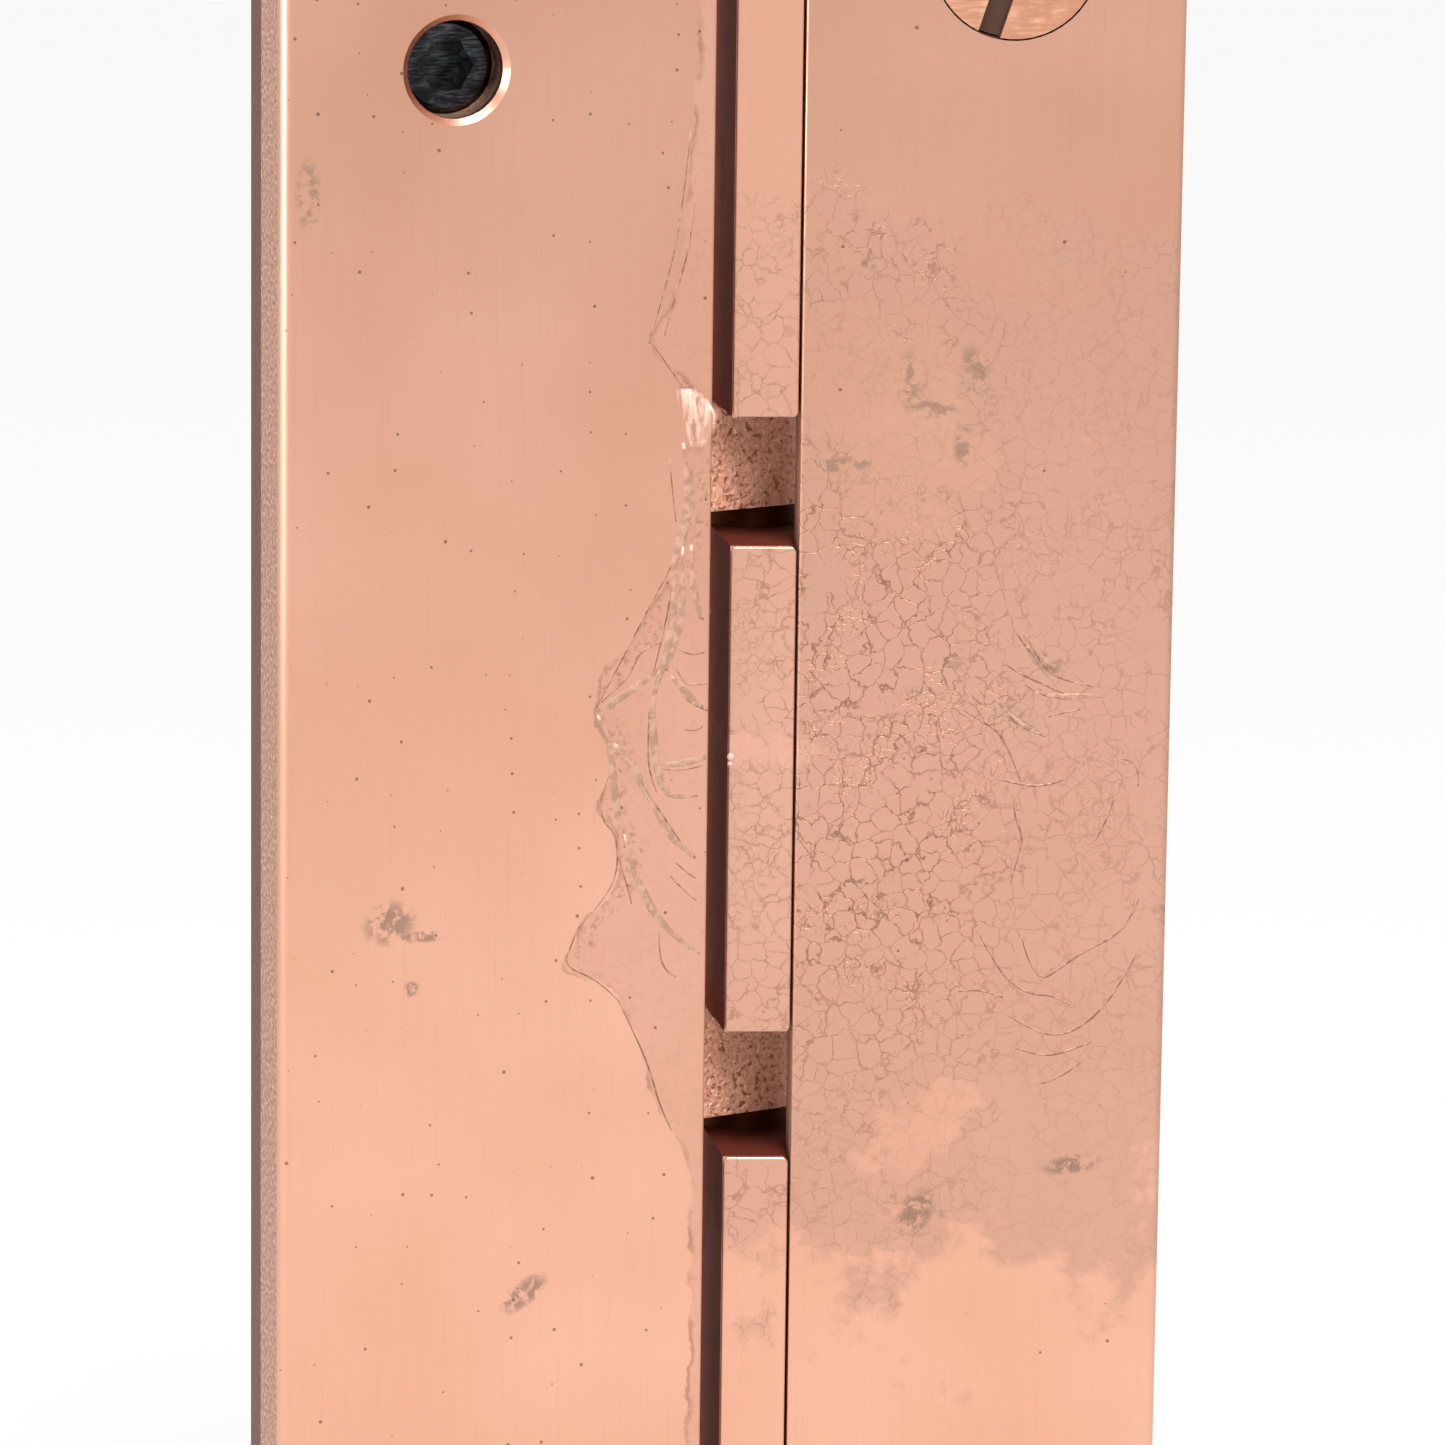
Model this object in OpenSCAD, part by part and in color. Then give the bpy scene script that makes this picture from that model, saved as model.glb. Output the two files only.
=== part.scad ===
// Heavy door hinge: two layered leaves on one pin. +Z runs up the pin, the brushed faces look along -Y.
// The origin is the centre of the frame leaf's fixing holes, on that leaf's back face.

/* [Leaves] */
// Height of both leaves
height = 114.3; // [100:0.1:150]
// Width of the frame leaf's face plate
frame_plate_w = 21.4; // [20:0.1:40]
// Width of the door leaf's face plate
door_plate_w = 25.1; // [22:0.1:45]
// Thickness of each face plate
plate_t = 4.5; // [4:0.1:6]
// Thickness of each cast leaf body behind its plate
body_t = 2.6; // [2.4:0.1:4]
// Corner radius of the plates, seen from the front
plate_corner_r = 1.6; // [0.5:0.1:3]
// Rounding of the frame plate's outer front edges
frame_edge_r = 0.45; // [0.2:0.05:1.2]
// Rounding of the door plate's outer front edges
door_edge_r = 0.9; // [0.2:0.05:1.2]
// Rounding of both plates' front edges beside the knuckles
inner_edge_r = 0.2; // [0.1:0.05:0.5]
// How far a cast body stays inside its plate's outline
body_inset = 0.1; // [0.1:0.1:1.5]
// Opening angle of the leaves at rest past flat, towards the faces
rest_angle = 15; // [0:1:15]

/* [Knuckles] */
// Width of a block's front face
block_w = 3.75; // [3.4:0.05:4]
// Seam between the blocks and the frame plate
seam = 0.13; // [0.05:0.01:0.4]
// Left side of the blocks, measured from the pin
block_left = 1.6; // [1.4:0.05:1.6]
// Corner radius of a block's front face
block_corner_r = 0.45; // [0.2:0.05:1.2]
// Rounding of a block's front edges
block_edge_r = 0.15; // [0.1:0.05:0.5]
// Outer diameter of the block round the pin
block_boss_d = 6.8; // [6.4:0.1:7.4]
// Height of a short door knuckle
knuckle_h = 5.95; // [4.5:0.05:9]
// Outer diameter of a short door knuckle
knuckle_d = 9; // [8.4:0.1:9]
// Free height above a short knuckle
knuckle_play = 0.15; // [0.1:0.05:0.4]
// Distance from the front faces back to the pin's centre
axis_depth = 9.5; // [9.5:0.1:10.5]
// Distance from the pin's centre to the door leaf's edge, with the leaves flat
door_edge_x = 5.4; // [5.4:0.1:5.6]

/* [Pin and bearings] */
// Diameter of the pin
pin_d = 4; // [3:0.1:4.4]
// Radial running clearance between the pin and a bush
run_gap = 0.03; // [0.02:0.01:0.08]
// Wall of a bush
bush_wall = 0.6; // [0.4:0.05:0.8]
// Thickness of a thrust washer
washer_t = 1.2; // [0.8:0.1:2]
// Outer diameter of a thrust washer
washer_d = 6.6; // [6:0.1:7]
// Free height between a thrust washer and its knuckle
washer_play = 0.1; // [0.05:0.05:0.3]
// Diameter of the pressed caps over the pin's ends
cap_d = 6.4; // [6:0.1:7]
// Thickness of those caps
cap_t = 1.2; // [0.8:0.1:2]
// Gap between a pin end and its cap
pin_end_gap = 0.3; // [0.1:0.1:1]
// Diameter of the screw that locks the pin
lock_d = 2.5; // [2:0.1:3]

/* [Face screws] */
// Head diameter of the slotted screws
slot_head_d = 9.3; // [7:0.1:10]
// Head height of the slotted screws
slot_head_h = 2.4; // [1.6:0.1:3]
// Shank diameter of the slotted screws
slot_shank_d = 5; // [3:0.1:6]
// Width of the screwdriver slot
slot_w = 1.3; // [0.8:0.1:1.6]
// Depth of the screwdriver slot
slot_depth = 1.3; // [0.8:0.1:1.5]
// Turn of the slots away from the pin's direction
slot_turn = 18; // [0:1:90]
// Ring gap round a slotted head
head_gap = 0.1; // [0.05:0.01:0.3]
// Clearance round a shank in the plate
shank_gap = 0.15; // [0.05:0.05:0.4]
// Distance of the slotted screws from the plate's seam edge
slot_from_seam = 11.7; // [9:0.1:14]
// Distance of the slotted screws from each end
slot_from_end = 9.4; // [8:0.1:14]
// Diameter of the socket set screws
set_d = 5.4; // [4:0.1:6]
// Radial clearance round a set screw
set_gap = 0.05; // [0.02:0.01:0.1]
// How far a set screw is sunk below the face
set_sunk = 2.2; // [1:0.1:3]
// Size of the hexagon socket across its corners
socket_d = 3.2; // [2:0.1:3.6]
// Depth of the hexagon socket
socket_depth = 2.4; // [1.5:0.1:3]
// Distance of the set screws from the door plate's outer edge
set_from_edge = 10; // [8:0.1:12]
// Distance of the set screws from each end
set_from_end = 15.4; // [13:0.1:18]
// Chamfer of the set screw holes and of the screw ends
rim = 0.35; // [0.1:0.05:0.6]

/* [Fixing holes] */
// Core diameter of the tapped fixing holes
tap_d = 4.2; // [3.3:0.1:5]
// Depth of the fixing holes into the face plate
tap_in_plate = 3; // [2:0.1:3.5]
// Fixing hole spacing across a leaf
fix_w = 10; // [8:0.5:11]
// Fixing hole spacing along a leaf
fix_h = 64; // [50:1:70]
// Countersunk head diameter of the rear plate screws
rear_head_d = 6.4; // [5:0.1:7]
// Shank diameter of the rear plate screws
rear_shank_d = 3.2; // [2.5:0.1:4]
// Depth of the rear plate screws into the face plate
rear_in_plate = 3; // [2:0.1:3.5]
// Distance of the rear plate screws from each end
rear_from_end = 6.5; // [5:0.1:8]
// Diameter of the dowels
dowel_d = 3; // [2:0.1:4]
// Length of a dowel in the plate, and in the body
dowel_half = 2.2; // [1.5:0.1:2.3]
// Dowel spacing along a leaf
dowel_h = 36; // [24:1:44]

/* [Hidden] */

$fn = 64;
eps = 0.01;
// Long blocks on the frame leaf
blocks = 3;
// Share of a radius along each axis at 45 degrees
diag = sqrt(0.5);

front_y = -axis_depth;
plate_back_y = front_y + plate_t;
body_back_y = plate_back_y + body_t;

// Stations along the pin
end_h = knuckle_h + washer_t + washer_play;
gap_h = knuckle_h + washer_t + washer_play + knuckle_play;
block_h = (height - 2 * end_h - (blocks - 1) * gap_h) / blocks;
pitch = block_h + gap_h;
first_block_z = -height / 2 + end_h;

// Low end of the short door knuckles: bottom, lower, upper and top
knuckle_z = concat(
  [-height / 2],
  [for (i = [1 : blocks - 1]) first_block_z + i * pitch - knuckle_play - knuckle_h],
  [height / 2 - knuckle_h]
);
// Low end of the washers; all but the bottom one lie on the block below a knuckle
washer_z = concat(
  [first_block_z - washer_t],
  [for (i = [0 : blocks - 1]) first_block_z + i * pitch + block_h]
);

// Frame leaf, measured from the pin
rail_right = block_w - block_left;
frame_x0 = rail_right + seam;
frame_x1 = frame_x0 + frame_plate_w;
frame_mid_x = (frame_x0 + frame_x1) / 2;
// Room left round the short knuckles in the frame body
knuckle_room = 0.7;
frame_body_x0 = knuckle_d / 2 + knuckle_room;
// The left side of a block flares out towards the pin by this much
web_flare = 0.5;
web_left = block_left + web_flare;

// Door leaf when flat, measured from the pin
door_x1 = -door_edge_x;
door_x0 = door_x1 - door_plate_w;
door_mid_x = (door_x0 + door_x1) / 2;
// How far a knuckle arm runs in over the back of its leaf
arm_root = 4;
arm_root_x = door_x1 - arm_root;

// Pin, bushes and caps
bush_in_r = pin_d / 2 + run_gap;
bush_out_r = bush_in_r + bush_wall;
pin_top_z = height / 2 - cap_t - pin_end_gap;
// Radial clearance between the pin and a thrust washer
washer_gap = 0.1;

// Screws
slot_x = frame_x0 + slot_from_seam;
slot_zs = [-height / 2 + slot_from_end, height / 2 - slot_from_end];
set_x = door_x0 + set_from_edge;
set_zs = [-height / 2 + set_from_end, height / 2 - set_from_end];
rear_zs = [-height / 2 + rear_from_end, 0, height / 2 - rear_from_end];
dowel_zs = [-dowel_h / 2, dowel_h / 2];
fix_zs = [-fix_h / 2, fix_h / 2];
fix_xs = [-fix_w / 2, fix_w / 2];
rear_cone_h = (rear_head_d - rear_shank_d) / 2;
rear_socket_d = rear_shank_d * 0.7;
// Distance of a screw's end from the far side of its hole
screw_end_gap = 0.3;

// ---- Placing ----

// Puts a shape drawn from the pin's centre into the hinge's own frame.
module from_pin() translate([-frame_mid_x, -body_back_y, 0]) children();

// Puts a shape of the flat door leaf at its rest angle.
module on_door() from_pin() rotate([0, 0, rest_angle]) children();

// Extrudes an outline drawn in X and Z from y0 back to y1.
module along_y(y0, y1) translate([0, y1, 0]) rotate([90, 0, 0]) linear_extrude(y1 - y0) children();

// Extrudes an outline drawn in Y and Z from x0 to x1.
module along_x(x0, x1) translate([x0, 0, 0]) rotate([90, 0, 90]) linear_extrude(x1 - x0) children();

// Extrudes an outline drawn in X and Y from z0 up to z1.
module along_z(z0, z1) translate([0, 0, z0]) linear_extrude(z1 - z0) children();

// A round hole or bar along Y.
module bar_y(x, z, y0, y1, d) translate([x, y1, z]) rotate([90, 0, 0]) cylinder(h = y1 - y0, d = d);

// A cone along Y, d0 wide at y0 and d1 wide at y1.
module cone_y(x, z, y0, y1, d0, d1) translate([x, y1, z]) rotate([90, 0, 0]) cylinder(h = y1 - y0, d1 = d1, d2 = d0);

// ---- Outlines ----

// A rectangle from (x0, z0) to (x1, z1) with four round corners.
module rounded_box(x0, z0, x1, z1, r) {
  translate([x0 + r, z0]) square([x1 - x0 - 2 * r, z1 - z0]);
  translate([x0, z0 + r]) square([x1 - x0, z1 - z0 - 2 * r]);
  for (x = [x0 + r, x1 - r], z = [z0 + r, z1 - r]) translate([x, z]) circle(r);
}

// A rectangle whose two corners on the front side, at y0, are round: r0 at x0 and r1 at x1.
module front_rounded(x0, x1, y0, y1, r0, r1) {
  translate([x0, y0 + r0]) square([(x1 - x0) / 2, y1 - y0 - r0]);
  translate([(x0 + x1) / 2, y0 + r1]) square([(x1 - x0) / 2, y1 - y0 - r1]);
  translate([x0 + r0, y0]) square([x1 - x0 - r0 - r1, y1 - y0]);
  translate([x0 + r0, y0 + r0]) circle(r0);
  translate([x1 - r1, y0 + r1]) circle(r1);
}

// The same outline turned, for edges that run the other way.
module side_rounded(y0, y1, z0, z1, r) mirror([1, -1, 0]) front_rounded(z0, z1, y0, y1, r, r);

// A block with round corners seen from the front, and round front edges: r0 at x0, r1 at x1, end_r at both ends.
module soft_block(x0, x1, y0, y1, z0, z1, corner_r, r0, r1, end_r) {
  intersection() {
    along_y(y0, y1) rounded_box(x0, z0, x1, z1, corner_r);
    along_z(z0, z1) front_rounded(x0, x1, y0, y1, r0, r1);
    along_x(x0, x1) side_rounded(y0, y1, z0, z1, end_r);
  }
}

// ---- Holes that several pieces share ----

module fixing_holes(mid_x) {
  for (x = fix_xs, z = fix_zs)
    bar_y(mid_x + x, z, plate_back_y - tap_in_plate, body_back_y + eps, tap_d);
}

module dowel_holes(mid_x) {
  for (z = dowel_zs)
    bar_y(mid_x, z, plate_back_y - dowel_half, plate_back_y + dowel_half, dowel_d);
}

// ---- Frame leaf ----

// Section of one block: front rail, boss round the pin and web to the leaf.
module block_section() {
  polygon([
    [-block_left, front_y + block_edge_r],
    [-web_left, plate_back_y],
    [-block_boss_d / 2 * diag, -block_boss_d / 2 * diag],
    [0, 0],
    [block_boss_d / 2 * diag, block_boss_d / 2 * diag],
    [frame_body_x0, body_back_y],
    [frame_mid_x, body_back_y],
    [frame_mid_x, plate_back_y],
    [rail_right, plate_back_y],
    [rail_right, front_y + block_edge_r]
  ]);
  circle(d = block_boss_d);
}

module knuckle_block(z) {
  top = z + block_h;
  intersection() {
    along_z(z, top) block_section();
    along_x(-height, height) side_rounded(front_y, height, z, top, block_edge_r);
    union() {
      along_y(front_y - eps, plate_back_y) rounded_box(-2 * block_left, z, rail_right, top, block_corner_r);
      translate([-height, plate_back_y, z]) cube([2 * height, height, block_h]);
    }
  }
  soft_block(-block_left, rail_right, front_y, plate_back_y, z, top, block_corner_r, block_edge_r, block_edge_r,
    block_edge_r);
}

module frame_body() color("#7a4a38") from_pin() difference() {
  union() {
    along_y(plate_back_y, body_back_y)
      rounded_box(frame_body_x0, -height / 2 + body_inset, frame_x1 - body_inset, height / 2 - body_inset,
        plate_corner_r);
    for (i = [0 : blocks - 1]) knuckle_block(first_block_z + i * pitch);
  }
  translate([0, 0, -height]) cylinder(h = 2 * height, d = pin_d);
  bar_y(0, 0, 0, axis_depth, lock_d);
  for (z = slot_zs) bar_y(slot_x, z, plate_back_y - eps, body_back_y + eps, slot_shank_d);
  fixing_holes(frame_mid_x);
  dowel_holes(frame_mid_x);
}

module frame_face_plate() color("#c08468") from_pin() difference() {
  soft_block(frame_x0, frame_x1, front_y, plate_back_y, -height / 2, height / 2, plate_corner_r, inner_edge_r,
    frame_edge_r, frame_edge_r);
  for (z = slot_zs) {
    bar_y(slot_x, z, front_y - eps, front_y + slot_head_h, slot_head_d + 2 * head_gap);
    bar_y(slot_x, z, front_y, plate_back_y + eps, slot_shank_d + 2 * shank_gap);
  }
  fixing_holes(frame_mid_x);
  dowel_holes(frame_mid_x);
}

module slotted_screw(z) difference() {
  union() {
    bar_y(slot_x, z, front_y, front_y + slot_head_h, slot_head_d);
    bar_y(slot_x, z, front_y + slot_head_h - eps, body_back_y - screw_end_gap, slot_shank_d);
  }
  translate([slot_x, front_y, z]) rotate([0, slot_turn, 0])
    cube([slot_w, 2 * slot_depth, 2 * slot_head_d], center = true);
}

module frame_plate_screws() color("#c08a70") from_pin() for (z = slot_zs) slotted_screw(z);

module dowel(mid_x, z) bar_y(mid_x, z, plate_back_y - dowel_half, plate_back_y + dowel_half, dowel_d);

module frame_plate_dowels() color("#9a9a9a") from_pin() for (z = dowel_zs) dowel(frame_mid_x, z);

// ---- Pin and bearings ----

module hinge_pin() color("#a8a8ac") from_pin() rotate_extrude() polygon([
  [0, -pin_top_z],
  [pin_d / 2 - rim, -pin_top_z],
  [pin_d / 2, -pin_top_z + rim],
  [pin_d / 2, pin_top_z - rim],
  [pin_d / 2 - rim, pin_top_z],
  [0, pin_top_z]
]);

// Short socket screw in the back of the middle block, with its point on the pin.
module pin_lock_screw() color("#2a2a2c") from_pin() difference() {
  bar_y(0, 0, pin_d / 2, block_boss_d / 2 - rim, lock_d);
  bar_y(0, 0, block_boss_d / 2 - rim - (block_boss_d - pin_d) / 4, block_boss_d, lock_d / 2, $fn = 6);
}

module ring(z, h, in_r, out_r) along_z(z, z + h) difference() {
  circle(out_r);
  circle(in_r);
}

module thrust_washer(i) color("#26211f") from_pin() ring(washer_z[i], washer_t, pin_d / 2 + washer_gap, washer_d / 2);

module thrust_washer_bottom() thrust_washer(0);
module thrust_washer_lower() thrust_washer(1);
module thrust_washer_upper() thrust_washer(2);
module thrust_washer_top() thrust_washer(3);

// A bush fills its knuckle; the end bushes stop at the caps.
module door_bush(i) {
  low = knuckle_z[i] + (i == 0 ? cap_t : 0);
  high = knuckle_z[i] + knuckle_h - (i == blocks ? cap_t : 0);
  color("#a9823f") on_door() ring(low, high - low, bush_in_r, bush_out_r);
}

module door_bush_bottom() door_bush(0);
module door_bush_lower() door_bush(1);
module door_bush_upper() door_bush(2);
module door_bush_top() door_bush(3);

module pin_cap(top) color("#b27b60") on_door() mirror([0, 0, top ? 0 : 1])
  translate([0, 0, height / 2 - cap_t]) rotate_extrude() polygon([
    [0, 0],
    [cap_d / 2, 0],
    [cap_d / 2, cap_t - rim],
    [cap_d / 2 - rim, cap_t],
    [0, cap_t]
  ]);

module pin_cap_top() pin_cap(true);
module pin_cap_bottom() pin_cap(false);

// ---- Door leaf ----

// Section of one short knuckle: arm from the leaf and round boss.
module knuckle_section() {
  polygon([
    [arm_root_x, plate_back_y],
    [0, -knuckle_d / 2],
    [0, 0],
    [-knuckle_d / 2 * diag, knuckle_d / 2 * diag],
    [arm_root_x, body_back_y]
  ]);
  circle(d = knuckle_d);
}

module door_body() color("#8a543f") on_door() difference() {
  union() {
    along_y(plate_back_y, body_back_y)
      rounded_box(door_x0 + body_inset, -height / 2 + body_inset, door_x1, height / 2 - body_inset, plate_corner_r);
    for (z = knuckle_z) along_z(z, z + knuckle_h) knuckle_section();
  }
  translate([0, 0, -height]) cylinder(h = 2 * height, r = bush_out_r);
  for (s = [-1, 1]) translate([0, 0, s * height / 2]) cylinder(h = 2 * cap_t, d = cap_d, center = true);
  for (z = set_zs) bar_y(set_x, z, plate_back_y - eps, body_back_y + eps, set_d + 2 * set_gap);
  for (z = rear_zs) {
    bar_y(door_mid_x, z, plate_back_y - eps, body_back_y + eps, rear_shank_d);
    cone_y(door_mid_x, z, body_back_y - rear_cone_h, body_back_y, rear_shank_d, rear_head_d);
  }
  fixing_holes(door_mid_x);
  dowel_holes(door_mid_x);
}

module door_face_plate() color("#c08468") on_door() difference() {
  soft_block(door_x0, door_x1, front_y, plate_back_y, -height / 2, height / 2, plate_corner_r, door_edge_r,
    inner_edge_r, door_edge_r);
  for (z = set_zs) {
    bar_y(set_x, z, front_y - eps, plate_back_y + eps, set_d + 2 * set_gap);
    cone_y(set_x, z, front_y, front_y + rim, set_d + 2 * (set_gap + rim), set_d + 2 * set_gap);
  }
  for (z = rear_zs) bar_y(door_mid_x, z, plate_back_y - rear_in_plate, plate_back_y + eps, rear_shank_d);
  fixing_holes(door_mid_x);
  dowel_holes(door_mid_x);
}

module set_screw(z) difference() {
  union() {
    bar_y(set_x, z, front_y + set_sunk + rim, body_back_y - screw_end_gap, set_d);
    cone_y(set_x, z, front_y + set_sunk, front_y + set_sunk + rim, set_d - 2 * rim, set_d);
  }
  bar_y(set_x, z, front_y, front_y + set_sunk + socket_depth, socket_d, $fn = 6);
}

module door_set_screws() color("#1d1d1f") on_door() for (z = set_zs) set_screw(z);

// Countersunk screw driven from behind through the body into the plate.
module rear_screw(z) difference() {
  union() {
    bar_y(door_mid_x, z, plate_back_y - rear_in_plate + screw_end_gap, body_back_y, rear_shank_d);
    cone_y(door_mid_x, z, body_back_y - rear_cone_h, body_back_y, rear_shank_d, rear_head_d);
  }
  bar_y(door_mid_x, z, body_back_y - rear_cone_h, body_back_y + eps, rear_socket_d, $fn = 6);
}

module door_plate_screws() color("#8e8e92") on_door() for (z = rear_zs) rear_screw(z);

module door_plate_dowels() color("#9a9a9a") on_door() for (z = dowel_zs) dowel(door_mid_x, z);

frame_body();
frame_face_plate();
frame_plate_screws();
frame_plate_dowels();
hinge_pin();
pin_lock_screw();
thrust_washer_top();
thrust_washer_upper();
thrust_washer_lower();
thrust_washer_bottom();
door_body();
door_face_plate();
door_set_screws();
door_plate_screws();
door_plate_dowels();
door_bush_top();
door_bush_upper();
door_bush_lower();
door_bush_bottom();
pin_cap_top();
pin_cap_bottom();
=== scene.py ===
# %% [markdown]
# # A heavy door hinge in brushed copper
# Two leaves turn on one pin. Each leaf is a thick brushed face plate on a rough cast body. The solids
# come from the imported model, so this lesson gives them their finishes and adds the small things that lie
# on the faces: the torn edge of a protective film, its folds, and the residue that it left.

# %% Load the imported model
import math
import random

import bmesh
import bpy
from mathutils import Matrix, Vector, noise


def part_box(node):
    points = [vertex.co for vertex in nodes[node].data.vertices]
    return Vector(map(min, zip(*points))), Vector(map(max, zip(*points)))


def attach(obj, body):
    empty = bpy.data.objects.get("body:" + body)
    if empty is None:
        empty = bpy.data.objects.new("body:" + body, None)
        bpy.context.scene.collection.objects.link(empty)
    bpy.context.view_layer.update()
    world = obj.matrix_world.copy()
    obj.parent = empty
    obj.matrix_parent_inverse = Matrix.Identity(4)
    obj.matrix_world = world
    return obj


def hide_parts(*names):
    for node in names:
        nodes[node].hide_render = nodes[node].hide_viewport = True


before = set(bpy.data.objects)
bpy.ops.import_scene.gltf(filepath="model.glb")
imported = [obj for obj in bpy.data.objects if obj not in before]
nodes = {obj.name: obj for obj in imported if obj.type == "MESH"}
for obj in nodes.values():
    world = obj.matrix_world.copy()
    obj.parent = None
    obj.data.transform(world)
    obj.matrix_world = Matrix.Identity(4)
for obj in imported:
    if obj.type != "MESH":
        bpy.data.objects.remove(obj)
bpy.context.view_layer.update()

# %% [markdown]
# ## Driving sizes
# The front, the pin and the half height are taken from the boxes of the solids; the door plate, the backs
# and the rest angle are given. Sizes on a face are in millimetres, because grain, cracks and scratches
# have real sizes, and `MM` turns them to metres.

# %% Sizes taken from the solids
MM = 0.001
plate_low, plate_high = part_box("frame_face_plate")
pin_low, pin_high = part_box("hinge_pin")
FRONT_Y = plate_low.y
PIN = Vector(((pin_low.x + pin_high.x) / 2, (pin_low.y + pin_high.y) / 2, 0.0))
HALF_HEIGHT = plate_high.z
REST_ANGLE = math.radians(15)
DOOR_PLATE_WIDTH = 25.1 * MM
DOOR_EDGE = 5.4 * MM
DOOR_X1 = PIN.x - DOOR_EDGE
DOOR_X0 = DOOR_X1 - DOOR_PLATE_WIDTH
# In millimetres from the pin, negative towards the viewer, on a flat leaf: the faces, and the backs of the
# door plate and the door body.
FRONT = (FRONT_Y - PIN.y) / MM
PLATE_BACK = -5.0
BODY_BACK = -2.4
# A door piece is drawn with the leaf flat, then turned about the pin to its rest angle.
DOOR_TURN = Matrix.Translation(PIN) @ Matrix.Rotation(REST_ANGLE, 4, "Z") @ Matrix.Translation(-PIN)
print("front plane y", round(FRONT_Y, 5), "pin", tuple(round(v, 5) for v in PIN))

# %% [markdown]
# ## Camera
# A long lens stands about 0.44 m off, a little above the faces and a little to the left, so that the
# verticals close slightly towards the floor. The hinge is cropped at the top and the bottom.

# %% Camera
def new_object(name, data):
    """An object in the scene, at the origin and unturned."""
    made = bpy.data.objects.new(name, data)
    bpy.context.scene.collection.objects.link(made)
    return made


TARGET = Vector((-14.925, -7.1, 3.99)) * MM
AZIMUTH = math.radians(-3.044)
ELEVATION = math.radians(11.424)
ROLL = math.radians(0.705)
DISTANCE = 444.4 * MM
LENS_MM = 194.4

toward = Vector((
    math.sin(AZIMUTH) * math.cos(ELEVATION),
    -math.cos(AZIMUTH) * math.cos(ELEVATION),
    math.sin(ELEVATION),
))
camera_data = bpy.data.cameras.new("camera")
camera_data.lens = LENS_MM
camera_data.sensor_width = 36.0
camera_data.clip_start = 0.01
camera = new_object("camera", camera_data)
aim = (-toward).to_track_quat("-Z", "Y").to_matrix().to_4x4()
camera.matrix_world = (
    Matrix.Translation(TARGET + toward * DISTANCE) @ aim @ Matrix.Rotation(ROLL, 4, "Z")
)
bpy.context.scene.camera = camera
print("camera at", tuple(round(v, 4) for v in camera.matrix_world.translation))

# %% [markdown]
# ## A small toolbox for shader nodes
# Blender builds a material from nodes. One helper adds a node, sets its settings and links its inputs, so
# that each finish below reads as a short list. Colours are written as sRGB hex, as a paint chart gives
# them, and turned to the linear values that the renderer mixes.


# %% Colours and nodes
def linear(hex_colour):
    """An sRGB hex colour as linear RGBA."""
    channels = [int(hex_colour[i : i + 2], 16) / 255 for i in (1, 3, 5)]
    return [c / 12.92 if c <= 0.04045 else ((c + 0.055) / 1.055) ** 2.4 for c in channels] + [1.0]


def plug(tree, socket, value):
    """Links another node's output to a socket, or sets the socket's own value."""
    if isinstance(value, bpy.types.NodeSocket):
        tree.links.new(value, socket)
    else:
        socket.default_value = value


def add(tree, kind, inputs=(), out=0, **settings):
    """Adds a shader node and gives back one of its outputs, whose .node is the node itself.

    The inputs go to the sockets in order, or by number or name when they are a dict.
    """
    node = tree.nodes.new("ShaderNode" + kind)
    for name, value in settings.items():
        setattr(node, name, value)
    for key, value in inputs.items() if isinstance(inputs, dict) else enumerate(inputs):
        plug(tree, node.inputs[key], value)
    return node.outputs[out]


# Settings that recur. A soft step has the inputs value, from, to, and may have the results at both ends.
# A mix of two colours has the share of the second colour at 0 and the colours at 6 and 7.
SOFT_STEP = {"interpolation_type": "SMOOTHSTEP"}
OF_COLOURS = {"data_type": "RGBA", "out": 2}


def grain(tree, coords, scale, detail=3.0, rough=0.55, stretch=(1, 1, 1), shift=(0, 0, 0)):
    """Noise with a grain of 1 / scale millimetres. coords are in millimetres."""
    placed = add(tree, "Mapping", {"Vector": coords, "Location": shift, "Scale": stretch})
    return add(tree, "TexNoise", {"Vector": placed, "Scale": scale, "Detail": detail, "Roughness": rough})


def leaf_coords(tree, turned):
    """Millimetres across a leaf from the pin, in front of it and up. The door leaf is turned back flat."""
    raw = add(tree, "TexCoord", out="Object")
    moved = add(tree, "VectorMath", (raw, tuple(-PIN)), operation="ADD")
    if turned:
        moved = add(tree, "VectorRotate", {"Vector": moved, "Angle": -REST_ANGLE}, rotation_type="Z_AXIS")
    return add(tree, "VectorMath", {0: moved, 3: 1 / MM}, operation="SCALE")


def new_material(name):
    """A material with its node tree and its main shader."""
    material = bpy.data.materials.new(name)
    material.use_nodes = True
    tree = material.node_tree
    return material, tree, tree.nodes["Principled BSDF"]


def set_links(tree, shader, values):
    """Plugs values or outputs into a shader's named inputs."""
    for name, value in values.items():
        plug(tree, shader.inputs[name], value)


print("half grey in linear light:", round(linear("#808080")[0], 3))

# %% [markdown]
# ## Brushed rose copper with film residue
# The plates were ground on a belt along their length, plated with copper and lacquered, then shipped
# under a self-adhesive film. Brushing leaves streaks some hundredths of a millimetre wide and several
# millimetres long. Where the film was pulled off late, its glue stayed, dried and crazed: thin brown
# cracks round cells of half a millimetre to a millimetre. Both are drawn in millimetres on the object's
# own coordinates, so they keep their place when the leaf turns.

# %% The brushed finish
BRUSH_DARK, BRUSH_MID, BRUSH_PALE = linear("#c28e75"), linear("#d29d84"), linear("#d9a58e")
RESIDUE_TINT = linear("#b88e7d")
CRACK_BROWN = linear("#8f6650")
EDGE_BROWN = linear("#98715f")


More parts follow.
